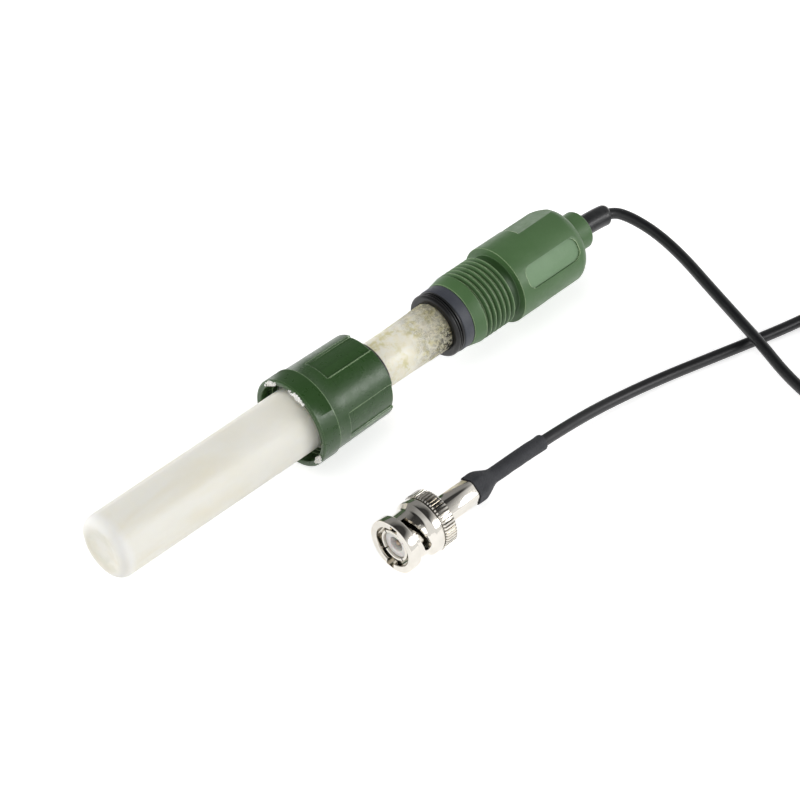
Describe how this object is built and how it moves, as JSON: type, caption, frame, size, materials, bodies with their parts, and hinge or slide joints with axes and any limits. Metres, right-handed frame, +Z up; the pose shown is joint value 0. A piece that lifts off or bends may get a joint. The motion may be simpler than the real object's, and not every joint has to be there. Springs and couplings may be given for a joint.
{
  "type": "redox electrode",
  "caption": "Laboratory redox electrode with threaded head, storage tube with cap nut on its tip, and a thin coaxial cable ending in a bayonet plug.",
  "frame": {"origin": "on the floor, under the middle of the electrode from the storage tube's closed end to the end of the head's nozzle", "axes": "+X along the electrode from the tip towards the head and cable, +Z up from the floor it lies on, plug and cable coil on the -Y side"},
  "size_m": [0.2059, 0.1149, 0.0228],
  "materials": {
    "tube_white": "milky translucent, smooth",
    "nut_green": "glossy moulded, salt crust at the rim",
    "rubber_black": "smooth black rubber",
    "shaft_cream": "translucent cream with yellow patches and salt",
    "tip_epoxy": "cast epoxy",
    "frit_ceramic": "porous",
    "stem_glass": "clear",
    "platinum": "bright drawn wire",
    "silver": "matt chloride coated",
    "gel": "set gel",
    "washer_slate": "smooth blue-grey",
    "head_green": "satin moulded",
    "potting": "cast",
    "copper": "bare strands",
    "sleeve_black": "soft moulded",
    "cable_black": "smooth extruded jacket",
    "shrink_grey": "shrunk tube, faint texture",
    "nickel": "bright nickel plate",
    "spring_steel": "plain",
    "silicone": "matt",
    "insulator_white": "smooth white",
    "gold": "plated"
  },
  "bodies": {
    "electrode": {"shaft_tube": "shaft_cream", "tip_plug": "tip_epoxy", "ceramic_frit": "frit_ceramic", "glass_stem": "stem_glass", "platinum_pin": "platinum", "platinum_lead": "platinum", "reference_wire": "silver", "reference_gel": "gel", "gel_stopper": "rubber_black", "o_ring": "rubber_black", "seal_washer": "washer_slate", "head_body": "head_green", "head_potting": "potting", "signal_wire": "copper", "shield_wire": "copper", "strain_sleeve": "sleeve_black", "cable_lead": "cable_black", "cable_coil": "cable_black", "cable_tail": "cable_black", "shrink_sleeve": "shrink_grey", "crimp_ferrule": "nickel", "plug_body": "nickel", "plug_gasket": "silicone", "wave_washer": "spring_steel", "retaining_ring": "spring_steel", "plug_insulator": "insulator_white", "plug_pin": "gold"},
    "seal_bush": {"seal_bush": "rubber_black"},
    "cap_nut": {"cap_nut": "nut_green"},
    "storage_tube": {"storage_tube": "tube_white"},
    "plug_ring": {"plug_ring": "nickel"}
  },
  "joints": [
    {"name": "seal_slide", "type": "slide", "parent": "electrode", "child": "seal_bush", "axis": [1, 0, 0], "range_m": [-0.072, 0.009]},
    {"name": "nut_turn", "type": "hinge", "parent": "seal_bush", "child": "cap_nut", "pos_m": [0.0013, 0, 0.01142], "axis": [1, 0, 0], "range_deg": [0, 1440]},
    {"name": "tube_unscrew", "type": "slide", "parent": "seal_bush", "child": "storage_tube", "axis": [-1, 0, 0], "range_m": [0, 0.006]},
    {"name": "plug_ring_turn", "type": "hinge", "parent": "electrode", "child": "plug_ring", "pos_m": [-0.01645, -0.0411, 0.00715], "axis": [1, 0, 0], "continuous": true}
  ],
  "couplings": [
    {"joint": "tube_unscrew", "follows": "nut_turn", "m_per_rad": 0.00023873}
  ]
}
